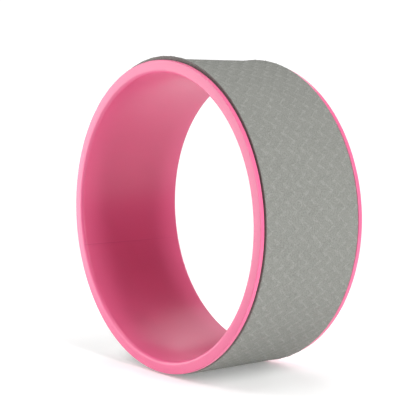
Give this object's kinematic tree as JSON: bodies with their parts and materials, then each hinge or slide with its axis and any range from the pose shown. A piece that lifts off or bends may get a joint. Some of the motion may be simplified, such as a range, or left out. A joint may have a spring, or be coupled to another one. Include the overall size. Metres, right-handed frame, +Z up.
{
  "type": "yoga wheel",
  "caption": "Wide round yoga wheel: a rigid glossy plastic hoop with a raised lip at each side and a bonded foam mat embossed with zigzag ribs, for backbends and stretching.",
  "frame": {"origin": "centre of the wheel, on its axis and midway between the two side faces", "axes": "+Y along the wheel's axis, +Z up as the wheel stands on its tread, +X the way it rolls"},
  "size_m": [0.3218, 0.13, 0.3218],
  "materials": {
    "pink_abs": "glossy moulded ABS",
    "bonding_film": "translucent contact adhesive",
    "grey_tpe_foam": "matt closed-cell TPE foam, embossed"
  },
  "bodies": {
    "root": {"hoop": "pink_abs", "bonding_film": "bonding_film", "mat": "grey_tpe_foam"}
  },
  "joints": []
}
